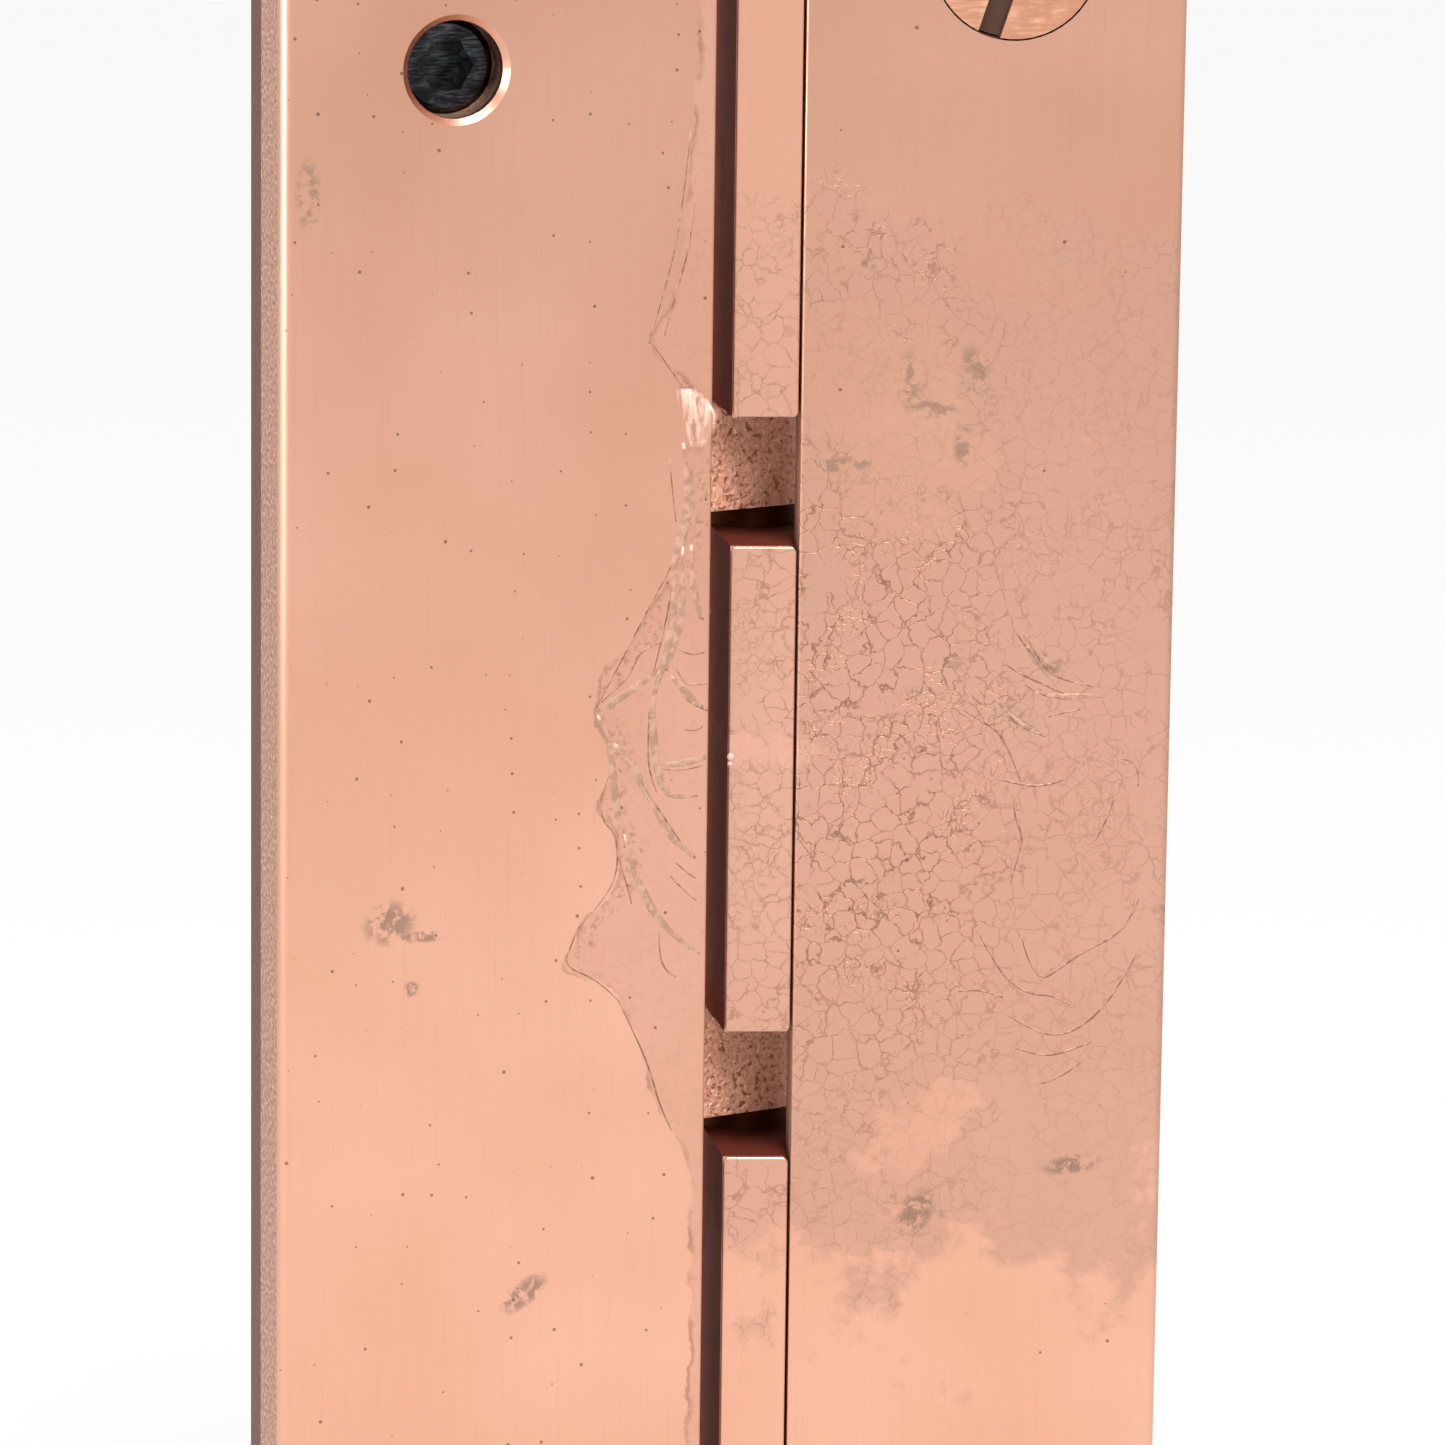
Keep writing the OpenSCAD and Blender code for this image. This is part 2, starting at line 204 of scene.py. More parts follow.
def brushed_base(tree, mm):
    """Colour and height of belt-ground copper, with the grain along Z."""
    streaks = grain(tree, mm, 1.0, detail=4, rough=0.7, stretch=(9.0, 9.0, 0.14))
    threads = grain(tree, mm, 1.0, detail=2, rough=0.6, stretch=(30.0, 30.0, 0.5))
    clouds = grain(tree, mm, 0.05, detail=2, rough=0.5)
    tone = add(tree, "MapRange", (clouds, 0.35, 0.65), **SOFT_STEP)
    colour = add(tree, "Mix", {0: tone, 6: BRUSH_MID, 7: BRUSH_PALE}, **OF_COLOURS)
    worn = add(tree, "MapRange", (streaks, 0.5, 0.75, 0.0, 0.22), **SOFT_STEP)
    colour = add(tree, "Mix", {0: worn, 6: colour, 7: BRUSH_DARK}, **OF_COLOURS)
    fine = add(tree, "Math", (threads, 0.4), operation="MULTIPLY")
    height = add(tree, "Math", (streaks, 0.6, fine), operation="MULTIPLY_ADD")
    return colour, height


def crazing(tree, mm):
    """Thin cracks round irregular cells: 1 on a crack, 0 inside a cell."""
    wander = add(tree, "TexNoise", {"Vector": mm, "Scale": 1.3, "Detail": 4.0}, out=1)
    offset = add(tree, "VectorMath", (wander, (-0.5, -0.5, -0.5)), operation="ADD")
    bent = add(tree, "VectorMath", {0: offset, 3: 0.95}, operation="SCALE")
    place = add(tree, "VectorMath", (mm, bent), operation="ADD")
    uneven = grain(tree, mm, 1.1, detail=4, rough=0.6)
    strength = add(tree, "MapRange", (uneven, 0.36, 0.6, 0.45, 1.0), **SOFT_STEP)
    total = None
    for scale, width, reach in ((0.85, 0.055, 0.34), (1.75, 0.06, 0.5)):
        cell_inputs = {"Vector": place, "Scale": scale}
        cells = add(tree, "TexVoronoi", cell_inputs, out="Distance", feature="DISTANCE_TO_EDGE")
        line = add(tree, "MapRange", (cells, 0.0, width, 1.0, 0.0), **SOFT_STEP)
        patches = grain(tree, mm, 0.3, detail=4, shift=(scale * 7, 0, 0))
        there = add(tree, "MapRange", (patches, reach, reach + 0.1), **SOFT_STEP)
        line = add(tree, "Math", (line, there), operation="MULTIPLY")
        total = line if total is None else add(tree, "Math", (total, line), operation="MAXIMUM")
    return add(tree, "Math", (total, strength), operation="MULTIPLY")


def crack_depth(tree, x, z):
    """How strong the cracks are on the frame leaf: they fade to the right and to both ends."""
    across = add(tree, "MapRange", (x, 9.0, 17.0, 1.0, 0.45), **SOFT_STEP)
    low = add(tree, "MapRange", (z, -24.0, -6.0, 0.4, 1.0), **SOFT_STEP)
    high = add(tree, "MapRange", (z, 12.0, 22.0, 1.0, 0.6), **SOFT_STEP)
    along = add(tree, "Math", (low, high), operation="MULTIPLY")
    return add(tree, "Math", (across, along), operation="MULTIPLY")


print("brushed tones, linear red:", [round(tone[0], 2) for tone in (BRUSH_DARK, BRUSH_MID, BRUSH_PALE)])

# %% [markdown]
# The residue doesn't lie everywhere. On the frame leaf it covers the middle of the plate and the blocks,
# and thins out towards the ends. On the door leaf it is a ragged band along the knuckles, nearly 9 mm wide
# in places, and its torn edge is a raised rim. Each coverage is a smooth field, broken up by noise: above
# zero there is film glue.

# %% Where the residue lies
def band(tree, value, low, high, soft):
    """1 between low and high, with soft ends."""
    rise = add(tree, "MapRange", (value, low - soft, low + soft), **SOFT_STEP)
    fall = add(tree, "MapRange", (value, high - soft, high + soft, 1.0, 0.0), **SOFT_STEP)
    return add(tree, "Math", (rise, fall), operation="MULTIPLY")


# Clean patches in the residue of the frame leaf: across from the pin, up, half width, half height, turn in
# degrees.
BARE_PATCHES = [
    (5.4, 24.4, 6.0, 3.8, 0),
    (8.4, 18.6, 4.6, 4.4, 0),
    (9.6, -20.0, 4.6, 2.0, 36),
    (0.4, 2.4, 3.4, 1.2, 0),
]


def patch(tree, x, z, cx, cz, half_w, half_h, turn):
    """How far a point lies from a spot's middle, squared; 1 is its outline."""
    c, s = math.cos(math.radians(turn)), math.sin(math.radians(turn))
    dx = add(tree, "Math", (x, cx), operation="SUBTRACT")
    dz = add(tree, "Math", (z, cz), operation="SUBTRACT")
    u = add(tree, "Math", (dz, s / half_w), operation="MULTIPLY")
    u = add(tree, "Math", (dx, c / half_w, u), operation="MULTIPLY_ADD")
    v = add(tree, "Math", (dz, c / half_h), operation="MULTIPLY")
    v = add(tree, "Math", (dx, -s / half_h, v), operation="MULTIPLY_ADD")
    v = add(tree, "Math", (v, v), operation="MULTIPLY")
    return add(tree, "Math", (u, u, v), operation="MULTIPLY_ADD")


def frame_residue(tree, x, z, mm):
    """Coverage of the middle of the frame leaf, thinner on the clean patches."""
    ragged = grain(tree, mm, 0.13, detail=6, rough=0.62)
    middle = band(tree, z, -28.0, 33.0, 12.0)
    field = add(tree, "Math", (ragged, 2.4, middle), operation="MULTIPLY_ADD")
    cover = add(tree, "MapRange", (field, 1.6, 1.85), **SOFT_STEP)
    torn = grain(tree, mm, 0.5, detail=6, rough=0.65)
    for spot in BARE_PATCHES:
        reach = add(tree, "Math", (torn, 4.5, patch(tree, x, z, *spot)), operation="MULTIPLY_ADD")
        kept = add(tree, "MapRange", (reach, 2.6, 3.3, 0.35, 1.0), **SOFT_STEP)
        cover = add(tree, "Math", (cover, kept), operation="MULTIPLY")
    return cover


# Width of the film remnant beside the knuckles of the door leaf: height up the leaf, then width, in
# millimetres.
FILM_EDGE = [
    (57.0, 0.9), (45.8, 1.0), (34.2, 1.6), (28.0, 2.6), (26.2, 3.7), (24.6, 2.4), (22.7, 1.3),
    (14.6, 1.8), (12.0, 3.1), (8.9, 4.8), (5.1, 6.8), (3.5, 6.3), (1.5, 5.9), (0.2, 6.5),
    (-1.1, 6.2), (-2.0, 5.5), (-4.0, 5.3), (-5.4, 5.9), (-7.2, 7.7), (-8.3, 8.1), (-9.6, 8.7),
    (-10.4, 6.4), (-11.7, 5.1), (-14.2, 4.1), (-17.6, 3.1), (-19.4, 2.1), (-23.4, 0.8),
    (-28.6, 0.7), (-40.0, 0.9), (-57.0, 0.6),
]


def film_width(tree, z):
    """The same edge as a curve that a shader can read, with heights and widths as shares of a span."""
    span, widest = 60.0, 10.0
    share = add(tree, "MapRange", (z, -span, span))
    width = add(tree, "FloatCurve", {"Value": share, "Factor": 1.0})
    curve = width.node.mapping.curves[0]
    ordered = sorted(FILM_EDGE)
    while len(curve.points) < len(ordered):
        curve.points.new(0.5, 0.5)
    for point, (up, reach) in zip(curve.points, ordered):
        point.location = ((up + span) / (2 * span), reach / widest)
        point.handle_type = "AUTO_CLAMPED"
    width.node.mapping.update()
    return add(tree, "Math", (width, widest), operation="MULTIPLY")


def door_residue(tree, x, z, mm):
    """Coverage of the band beside the knuckles, and the height of its torn rim."""
    ragged = add(tree, "Math", (grain(tree, mm, 0.55, detail=6, rough=0.66), 0.5), operation="SUBTRACT")
    reach = add(tree, "Math", (ragged, 1.6, film_width(tree, z)), operation="MULTIPLY_ADD")
    from_edge = add(tree, "Math", (-DOOR_EDGE / MM, x), operation="SUBTRACT")
    inside = add(tree, "Math", (reach, from_edge), operation="SUBTRACT")
    cover = add(tree, "MapRange", (inside, -0.05, 0.1), **SOFT_STEP)
    rise = add(tree, "MapRange", (inside, -0.1, 0.02), **SOFT_STEP)
    fall = add(tree, "MapRange", (inside, 0.06, 0.35, 1.0, 0.0), **SOFT_STEP)
    rim = add(tree, "Math", (rise, fall), operation="MULTIPLY")
    patchy = grain(tree, mm, 0.5, detail=3, shift=(3, 0, 5))
    patchy = add(tree, "MapRange", (patchy, 0.38, 0.6), **SOFT_STEP)
    rim = add(tree, "Math", (rim, patchy), operation="MULTIPLY")
    beside = band(tree, inside, 0.1, 1.5, 0.3)
    middle = band(tree, z, -10.0, 20.0, 3.0)
    crumb_band = add(tree, "Math", (beside, middle), operation="MULTIPLY")
    crumbs = grain(tree, mm, 2.2, detail=5, rough=0.7, shift=(1, 0, 9))
    crumbs = add(tree, "MapRange", (crumbs, 0.5, 0.62), **SOFT_STEP)
    crumbs = add(tree, "Math", (crumbs, crumb_band), operation="MULTIPLY")
    return cover, add(tree, "Math", (rim, crumbs), operation="MAXIMUM")


# Dark marks on the faces: across from the pin, up, half width, half height, turn in degrees.
FRAME_MARKS = [
    (8.5, 23.8, 1.0, 1.8, 0),
    (9.5, 22.1, 1.9, 0.6, 0),
    (12.1, 24.3, 1.0, 1.6, 10),
    (11.5, 20.1, 0.6, 1.5, 0),
    (4.6, 18.9, 2.1, 0.5, 4),
    (9.6, -24.8, 1.0, 1.6, -30),
    (18.6, -22.0, 1.9, 0.6, 8),
    (14.9, 4.3, 0.5, 1.3, 55),
    (16.4, 7.6, 0.5, 1.4, 50),
    (6.0, 30.4, 0.5, 0.5, 0),
]
DOOR_MARKS = [
    (-24.2, -6.4, 1.6, 1.3, 10),
    (-22.4, -7.3, 1.6, 0.35, 0),
    (-22.9, -10.3, 0.5, 0.5, 0),
    (-16.2, -28.6, 1.7, 0.8, 35),
    (-29.0, 35.0, 0.8, 2.2, 0),
]


def marks(tree, x, z, mm, spots):
    """Crumbled glue and dirt at the named places, with ragged outlines."""
    crumbs = grain(tree, mm, 1.5, detail=6, rough=0.7)
    total = None
    for place in spots:
        spot = add(tree, "MapRange", (patch(tree, x, z, *place), 0.2, 1.3, 1.0, 0.0), **SOFT_STEP)
        total = spot if total is None else add(tree, "Math", (total, spot), operation="MAXIMUM")
    ragged = add(tree, "MapRange", (crumbs, 0.43, 0.56), **SOFT_STEP)
    return add(tree, "Math", (total, ragged), operation="MULTIPLY")


def specks(tree, x, z, cell_mm, share, size):
    """Small dark dots scattered over a face: about one in every 1/share cells."""
    flat = add(tree, "CombineXYZ", {0: x, 1: z})
    cell_inputs = {"Vector": flat, "Scale": 1.0 / cell_mm}
    distance = add(tree, "TexVoronoi", cell_inputs, voronoi_dimensions="2D")
    chosen, luck, _ = add(tree, "SeparateColor", (distance.node.outputs["Color"],)).node.outputs
    there = add(tree, "Math", (chosen, share), operation="LESS_THAN")
    grown = add(tree, "Math", (luck, size), operation="MULTIPLY")
    dot = add(tree, "Math", (distance, grown), operation="LESS_THAN")
    return add(tree, "Math", (there, dot), operation="MULTIPLY")


print("film on the door leaf is up to", max(width for _, width in FILM_EDGE), "mm wide")
print("dark marks:", len(FRAME_MARKS), "on the frame leaf,", len(DOOR_MARKS), "on the door leaf")

# %% [markdown]
# Each plate mixes these layers in the order in which they lie on the metal: brushed copper, glue tint,
# cracks, dirt. The sides of a plate were sawn and not brushed, so they are browner and rougher. A side is
# told from the face by its depth behind the front.


# %% Plate materials
def lay_over(tree, colour, layers):
    """Lays colours over a colour. Each layer gives where it lies, its strength there and its colour."""
    for cover, strength, over in layers:
        share = add(tree, "Math", (cover, strength), operation="MULTIPLY")
        colour = add(tree, "Mix", {0: share, 6: colour, 7: over}, **OF_COLOURS)
    return colour


def plate_material(name, turned):
    """The finish of a face plate: the door leaf's when turned, else the frame leaf's."""
    material, tree, shader = new_material(name)
    mm = leaf_coords(tree, turned)
    x, y, z = add(tree, "SeparateXYZ", (mm,)).node.outputs
    colour, height = brushed_base(tree, mm)
    cracks = crazing(tree, mm)
    rims = []
    if turned:
        cover, rim = door_residue(tree, x, z, mm)
        rims.append((rim, 0.5, CRACK_BROWN))
        dirt = marks(tree, x, z, mm, DOOR_MARKS)
        dots = specks(tree, x, z, 2.2, 0.55, 0.05)
        crack_strength = 0.12
        tint = 0.22
    else:
        cover = frame_residue(tree, x, z, mm)
        dirt = marks(tree, x, z, mm, FRAME_MARKS)
        dots = specks(tree, x, z, 4.0, 0.3, 0.03)
        crack_strength = crack_depth(tree, x, z)
        tint = 0.6
    cracks = add(tree, "Math", (cracks, cover), operation="MULTIPLY")
    cracks = add(tree, "Math", (cracks, crack_strength), operation="MULTIPLY")
    colour = lay_over(tree, colour, [
        (cover, tint, RESIDUE_TINT),
        (cracks, 1.0, CRACK_BROWN),
        *rims,
        (dirt, 0.75, linear("#8a7263")),
        (dots, 0.7, linear("#6d4a3a")),
    ])
    # Sawn sides lie behind the rounding of the front edge.
    side = add(tree, "MapRange", (y, FRONT + 0.7, FRONT + 1.1), **SOFT_STEP)
    sawn = add(tree, "MapRange", (grain(tree, mm, 4.0, detail=4), 0.4, 0.65), **SOFT_STEP)
    side_colour = add(tree, "Mix", {0: sawn, 6: EDGE_BROWN, 7: linear("#c4a08d")}, **OF_COLOURS)
    colour = add(tree, "Mix", {0: side, 6: colour, 7: side_colour}, **OF_COLOURS)
    rough = add(tree, "Math", (cover, 0.14, 0.3), operation="MULTIPLY_ADD")
    dull = add(tree, "Math", (dirt, side), operation="MAXIMUM")
    rough = add(tree, "Math", (dull, 0.25, rough), operation="MULTIPLY_ADD")
    relief = add(tree, "Math", (cover, 0.2), operation="MULTIPLY")
    relief = add(tree, "Math", (relief, cracks), operation="SUBTRACT")
    relief = add(tree, "Math", (dirt, 0.3, relief), operation="MULTIPLY_ADD")
    fine = add(tree, "Bump", {"Height": height, "Distance": 0.012 * MM})
    normal = add(tree, "Bump", {"Height": relief, "Distance": 0.014 * MM, "Normal": fine})
    set_links(tree, shader, {
        "Base Color": colour,
        "Metallic": 1.0,
        "Roughness": rough,
        "Normal": normal,
        "Anisotropic": 0.45,
    })
    return material


frame_plate_finish = plate_material("brushed_copper_frame", turned=False)
door_plate_finish = plate_material("brushed_copper_door", turned=True)
print("plates: brushed copper with film residue")

# %% [markdown]
# ## Cast leaf bodies
# The bodies are sand or investment castings, plated with the plates. Their skin keeps the grain of the
# mould, about a third of a millimetre, with pits. Only the front faces of the long blocks are brushed,
# and their flanks are milled smooth, so the frame body mixes three finishes by depth. Painted light and
# shade are in their colours too: a paler skin and knuckles, and darker leaf sides, flanks and block ends.


# %% Cast material
def cast_layers(tree, mm):
    """Colour and height of the cast skin: lumps, pits, and darker holes."""
    lumps = grain(tree, mm, 3.4, detail=5, rough=0.66)
    pits = add(tree, "TexVoronoi", {"Vector": mm, "Scale": 2.4}, feature="SMOOTH_F1")
    pits = add(tree, "MapRange", (pits, 0.12, 0.4, 0.0, 0.35), **SOFT_STEP)
    height = add(tree, "Math", (lumps, 0.8, pits), operation="MULTIPLY_ADD")
    # The two skin tones are set pale: partly the skin's own tone, partly painted light that brightens the
    # cast parts in the dim gaps.
    tone = add(tree, "MapRange", (lumps, 0.35, 0.6), **SOFT_STEP)
    colour = add(tree, "Mix", {0: tone, 6: linear("#d39c86"), 7: linear("#fbd2be")}, **OF_COLOURS)
    holes = grain(tree, mm, 2.7, detail=4, rough=0.6, shift=(5, 2, 8))
    holes = add(tree, "MapRange", (holes, 0.57, 0.64), **SOFT_STEP)
    colour = add(tree, "Mix", {0: holes, 6: colour, 7: linear("#7c4d3c")}, **OF_COLOURS)
    height = add(tree, "Math", (holes, -0.4, height), operation="MULTIPLY_ADD")
    return colour, height


def door_body_material():
    """The door casting: knuckles painted lighter as painted light, the leaf painted darker as painted
    shade, and the darkest painted shade on its outer side.
    """
    material, tree, shader = new_material("cast_copper_door")
    mm = leaf_coords(tree, True)
    colour, height = cast_layers(tree, mm)
    x = add(tree, "SeparateXYZ", (mm,))
    # The knuckles are painted lighter and redder as painted light for the dim gaps, and are matte; the
    # leaf's sides are painted darker as painted shade.
    knuckle = add(tree, "MapRange", (x, -5.8, -5.4), **SOFT_STEP)
    lit_knuckle_paint = add(tree, "Mix", {0: 0.4, 6: colour, 7: linear("#ef9661")}, **OF_COLOURS)
    shaded_leaf_paint = add(tree, "Mix", {0: 0.5, 6: colour, 7: linear("#7d5344")}, **OF_COLOURS)
    colour = add(tree, "Mix", {0: knuckle, 6: shaded_leaf_paint, 7: lit_knuckle_paint}, **OF_COLOURS)
    # Painted shade: the outer side of the leaf gets the darkest tone.
    outer = (DOOR_X0 - PIN.x) / MM
    shaded_outer_side = add(tree, "MapRange", (x, outer + 0.2, outer + 0.5, 1.0, 0.0), **SOFT_STEP)
    colour = add(tree, "Mix", {0: shaded_outer_side, 6: colour, 7: linear("#6b4238")}, **OF_COLOURS)
    metallic = add(tree, "MapRange", (knuckle, 0.0, 1.0, 1.0, 0.5), **SOFT_STEP)
    normal = add(tree, "Bump", {"Height": height, "Distance": 0.16 * MM})
    set_links(tree, shader, {
        "Base Color": colour,
        "Metallic": metallic,
        "Roughness": 0.46,
        "Normal": normal,
    })
    return material


def frame_body_material():
    """The frame casting: brushed block faces, flanks cut smooth on a mill, tarnished and painted darker as
    painted shade, upper block ends darkest as painted shade, and a cast back.
    """
    material, tree, shader = new_material("cast_copper_frame")
    mm = leaf_coords(tree, False)
    x, y, z = add(tree, "SeparateXYZ", (mm,)).node.outputs
    cast_colour, cast_height = cast_layers(tree, mm)
    colour, height = brushed_base(tree, mm)
    cover = frame_residue(tree, x, z, mm)
    cracks = add(tree, "Math", (crazing(tree, mm), cover), operation="MULTIPLY")
    colour = lay_over(tree, colour, [(cover, 0.55, RESIDUE_TINT), (cracks, 0.6, CRACK_BROWN)])
    flank = add(tree, "MapRange", (y, FRONT + 0.2, FRONT + 0.35), **SOFT_STEP)
    beside_slit = add(tree, "MapRange", (x, 2.4, 2.7, 1.0, 0.0), **SOFT_STEP)
    behind_plate = add(tree, "MapRange", (y, FRONT + 4.3, FRONT + 4.6), **SOFT_STEP)
    behind_pin = add(tree, "MapRange", (y, -0.5, 0.5), **SOFT_STEP)
    back = add(tree, "Mix", {0: beside_slit, 2: behind_plate, 3: behind_pin})
    clouds = grain(tree, mm, 0.6)
    # The flanks are painted dark brown: tarnish, and painted shade of the slits and gaps.
    flank_tarnish_and_shade = add(tree, "Mix", {0: clouds, 6: linear("#5c2615"), 7: linear("#7a3c24")}, **OF_COLOURS)
    # The blocks' upper ends, which face up into the gaps, are painted darkest as painted shade.
    facing = add(tree, "TexCoord", out="Normal")
    upward = add(tree, "SeparateXYZ", (facing,), out=2)
    upper_end_shade = add(tree, "MapRange", (upward, 0.5, 0.9), **SOFT_STEP)
    flank_tarnish_and_shade = add(tree, "Mix", {0: upper_end_shade, 6: flank_tarnish_and_shade, 7: linear("#4c1d10")}, **OF_COLOURS)
    colour = add(tree, "Mix", {0: flank, 6: colour, 7: flank_tarnish_and_shade}, **OF_COLOURS)
    colour = add(tree, "Mix", {0: back, 6: colour, 7: cast_colour}, **OF_COLOURS)
    fine = add(tree, "Bump", {"Height": height, "Distance": 0.012 * MM})
    relief = add(tree, "Math", (cast_height, back), operation="MULTIPLY")
    normal = add(tree, "Bump", {"Height": relief, "Distance": 0.3 * MM, "Normal": fine})
    rough = add(tree, "Math", (cover, 0.1, 0.34), operation="MULTIPLY_ADD")
    # Tarnish on the flanks takes the gleam off the metal there.
    tarnish = add(tree, "Math", (flank, back), operation="SUBTRACT")
    rough = add(tree, "Math", (tarnish, 0.4, rough), operation="MULTIPLY_ADD")
    metallic = add(tree, "Math", (tarnish, -0.75, 1.0), operation="MULTIPLY_ADD")
    set_links(tree, shader, {
        "Base Color": colour,
        "Metallic": metallic,
        "Roughness": rough,
        "Normal": normal,
        "Specular IOR Level": 0.12,
    })
    return material


door_body_finish = door_body_material()
frame_body_finish = frame_body_material()
print("bodies: cast copper")

# %% [markdown]
# ## Screws, pin and bearings
# The slotted screws are brushed like the plates, and their slots are painted darker as painted shade. The
# set screws are black oxide steel with a little oil, which gives a soft grey gleam. The pin and dowels are
# ground steel, with fine rings from the wheel. The bushes are turned bronze, and the washers are acetal
# coloured a dark copper brown, a painted shade for the gaps under the knuckles.


# %% Small metal parts
def turned_metal(name, dark, pale, roughness, ring_mm=0.12, relief_mm=0.01, shade_below=None):
    """Machined metal: streaks of two tones in fine rings. Below the given depth in millimetres, it is
    painted darker as painted shade and made rougher and less metallic.
    """
    material, tree, shader = new_material(name)
    mm = leaf_coords(tree, False)
    rings = grain(tree, mm, 1.0 / ring_mm, detail=3, stretch=(0.15, 0.15, 1.0))
    wear = grain(tree, mm, 0.9, detail=4)
    ring_tone = add(tree, "MapRange", (rings, 0.35, 0.7), **SOFT_STEP)
    wear_tone = add(tree, "MapRange", (wear, 0.3, 0.7), **SOFT_STEP)
    tone = add(tree, "Math", (ring_tone, wear_tone), operation="MULTIPLY")
    colour = add(tree, "Mix", {0: tone, 6: linear(dark), 7: linear(pale)}, **OF_COLOURS)
    rough = add(tree, "Math", (wear, 0.12, roughness), operation="MULTIPLY_ADD")
    metallic = 1.0
    if shade_below is not None:
        y = add(tree, "SeparateXYZ", (mm,), out=1)
        # Painted shade: deeper than the given depth the colour turns dark brown, and the metal gets
        # rougher and less metallic.
        recess_shade = add(tree, "MapRange", (y, FRONT + shade_below, FRONT + 3 * shade_below), **SOFT_STEP)
        colour = add(tree, "Mix", {0: recess_shade, 6: colour, 7: linear("#452b1f")}, **OF_COLOURS)
        rough = add(tree, "Math", (recess_shade, 0.4, rough), operation="MULTIPLY_ADD")
        metallic = add(tree, "Math", (recess_shade, -0.8, 1.0), operation="MULTIPLY_ADD")
    normal = add(tree, "Bump", {"Height": rings, "Distance": relief_mm * MM})
    set_links(tree, shader, {
        "Base Color": colour,
        "Metallic": metallic,
        "Roughness": rough,
        "Normal": normal,
    })
    return material


FINISHES = {
    "frame_face_plate": frame_plate_finish,
    "door_face_plate": door_plate_finish,
    "frame_body": frame_body_finish,
    "door_body": door_body_finish,
}
steel_finish = turned_metal("ground_steel", "#8f8f92", "#c4c4c8", 0.22)
bronze_finish = turned_metal("bearing_bronze", "#8c6a35", "#c29a55", 0.3)
# The washers are coloured dark copper brown as painted shade in the gaps under the knuckles.
washer_finish = turned_metal("acetal_painted_shade", "#3f1e12", "#5a2d1c", 0.5, relief_mm=0.004)
# The slots of these screws get the painted shade.
screw_finish = turned_metal("copper_plated_screw", "#c98e71", "#e6b093", 0.28, 0.2, shade_below=0.1)
oxide_finish = turned_metal("black_oxide", "#1f1f21", "#56575c", 0.14, relief_mm=0.002)
for name in nodes:
    if "bush" in name:
        FINISHES[name] = bronze_finish
    elif "washer" in name:
        FINISHES[name] = washer_finish
    elif name in ("door_set_screws", "pin_lock_screw"):
        FINISHES[name] = oxide_finish
    elif name in ("frame_plate_screws", "pin_cap_top", "pin_cap_bottom"):
        FINISHES[name] = screw_finish
    elif name not in FINISHES:
        FINISHES[name] = steel_finish
for name, finish in FINISHES.items():
    node = nodes[name]
    if not node.material_slots:
        node.data.materials.append(finish)
    for material_slot in node.material_slots:
        material_slot.material = finish
print("finishes set on", len(FINISHES), "nodes")

# %% [markdown]
# ## Slim knuckles
# The solid of the door body gives its short knuckles a plain round boss. On the real casting the boss is
# slimmer, and a flat flank runs to it from the leaf's edge, so the lower edge of a knuckle climbs as it
# turns away. A copy of the solid is kept only inside an envelope: the leaf, the slanted flank and the
# slim boss, drawn as one outline and pushed up through the whole height. A boolean does this cleanly,
# because the envelope clears the leaf on every other side.

# %% Slim cast knuckles
# In millimetres: the boss, the room that the envelope leaves round the leaf, and a place past its outer
# side.
BOSS_R = 3.6
CLEAR = 1.0
OUTSIDE = -40.0
ARC_STEPS = 48
# Behind the leaf the outline comes down from the boss to a point this far from the leaf's edge and just
# clear of its back. Then it steps out to the full room.
WEB_REACH = 3.9
WEB_GAP = 0.06
STEP_REACH = 4.1


def mesh_object(name, bm):
    """Turns a bmesh into an object and frees it."""
    mesh = bpy.data.meshes.new(name)
    bm.to_mesh(mesh)
    bm.free()
    return new_object(name, mesh)


def finished_mesh(thing):
    """The mesh of an object once its modifiers or its bevel are worked out."""
    bpy.context.view_layer.update()
    depsgraph = bpy.context.evaluated_depsgraph_get()
    return bpy.data.meshes.new_from_object(thing.evaluated_get(depsgraph))


def envelope():
    """Outline of leaf and knuckle seen from above, on the flat leaf, pushed up past both ends."""
    edge = -DOOR_EDGE / MM
    flank_angle = math.atan2(-PLATE_BACK, -edge) - math.asin(BOSS_R / math.hypot(edge, PLATE_BACK))
    start, stop = flank_angle - math.pi / 2, math.radians(135)
    arc = [start + (stop - start) * i / ARC_STEPS for i in range(ARC_STEPS + 1)]
    outline = [
        (OUTSIDE, PLATE_BACK - CLEAR),
        (edge, PLATE_BACK - CLEAR),
        (edge, PLATE_BACK),
        *[(BOSS_R * math.cos(a), BOSS_R * math.sin(a)) for a in arc],
        (edge - WEB_REACH, BODY_BACK + WEB_GAP),
        (edge - STEP_REACH, BODY_BACK + CLEAR),
        (OUTSIDE, BODY_BACK + CLEAR),
    ]
    bm = bmesh.new()
    low = -HALF_HEIGHT - CLEAR * MM
    verts = [bm.verts.new((PIN.x + x * MM, PIN.y + y * MM, low)) for x, y in outline]
    face = bm.faces.new(verts)
    raised = bmesh.ops.extrude_face_region(bm, geom=[face])["geom"]
    top = [item for item in raised if isinstance(item, bmesh.types.BMVert)]
    bmesh.ops.translate(bm, verts=top, vec=(0, 0, -2 * low))
    bmesh.ops.transform(bm, matrix=DOOR_TURN, verts=bm.verts)
    bmesh.ops.recalc_face_normals(bm, faces=bm.faces)
    return mesh_object("envelope", bm)


